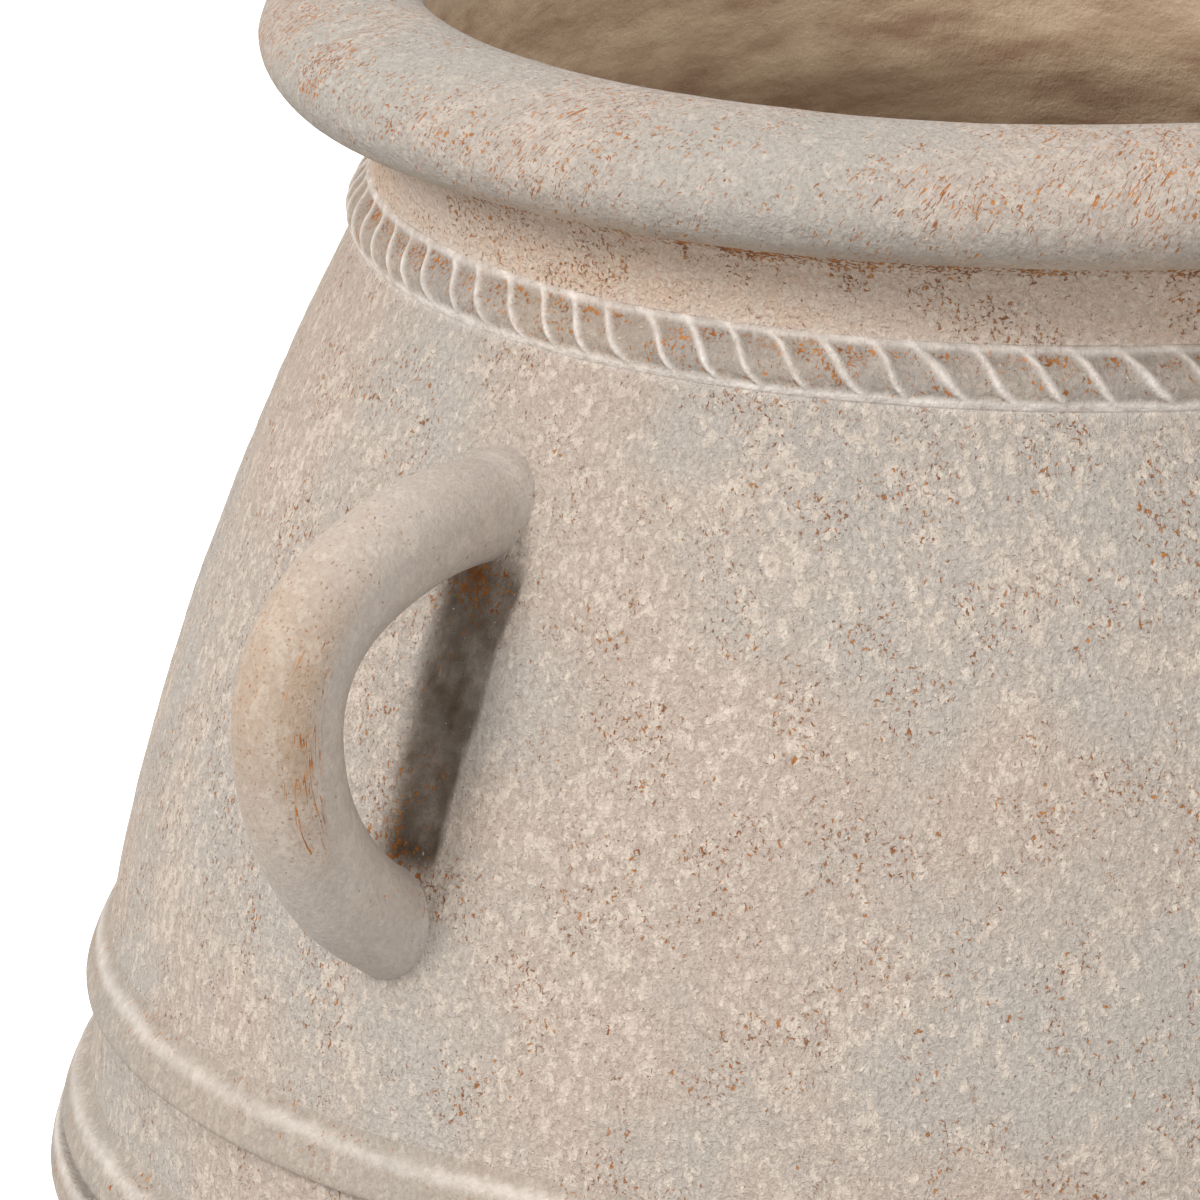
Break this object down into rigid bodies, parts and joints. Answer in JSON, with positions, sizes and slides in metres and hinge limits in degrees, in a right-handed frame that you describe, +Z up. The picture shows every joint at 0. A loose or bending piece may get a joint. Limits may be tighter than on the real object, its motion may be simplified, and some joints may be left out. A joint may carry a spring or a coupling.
{
  "type": "storage jar",
  "caption": "Tall ovoid clay storage jar with a rolled rim, a pressed rope band, raised belly bands and upright loop handles.",
  "frame": {"origin": "centre of the flat underside", "axes": "+Z up along the jar's axis; the front handle points along -Y, the right handle stands 30 degrees from +X towards +Y and the left one 30 degrees from -X towards +Y"},
  "size_m": [0.6092, 0.6295, 0.76],
  "materials": {
    "wall_terracotta": "unglazed fired clay, lime-washed and weathered, matt",
    "rim_terracotta": "unglazed fired clay, lime-washed and weathered, matt",
    "band_terracotta": "unglazed fired clay, lime-washed and weathered, matt",
    "rope_terracotta": "unglazed fired clay, lime-washed and weathered, matt",
    "handle_terracotta": "unglazed fired clay, lime-washed and weathered, matt"
  },
  "bodies": {
    "root": {"base_slab": "wall_terracotta", "foot_course": "wall_terracotta", "lower_course": "wall_terracotta", "belly_course": "wall_terracotta", "shoulder_course": "wall_terracotta", "upper_shoulder_course": "wall_terracotta", "neck_collar": "rim_terracotta", "rim_roll": "rim_terracotta", "lower_band": "band_terracotta", "belly_band": "band_terracotta", "belly_band_upper": "band_terracotta", "shoulder_band": "band_terracotta", "rope_band": "rope_terracotta", "handle_front": "handle_terracotta", "handle_right": "handle_terracotta", "handle_left": "handle_terracotta"}
  },
  "joints": []
}
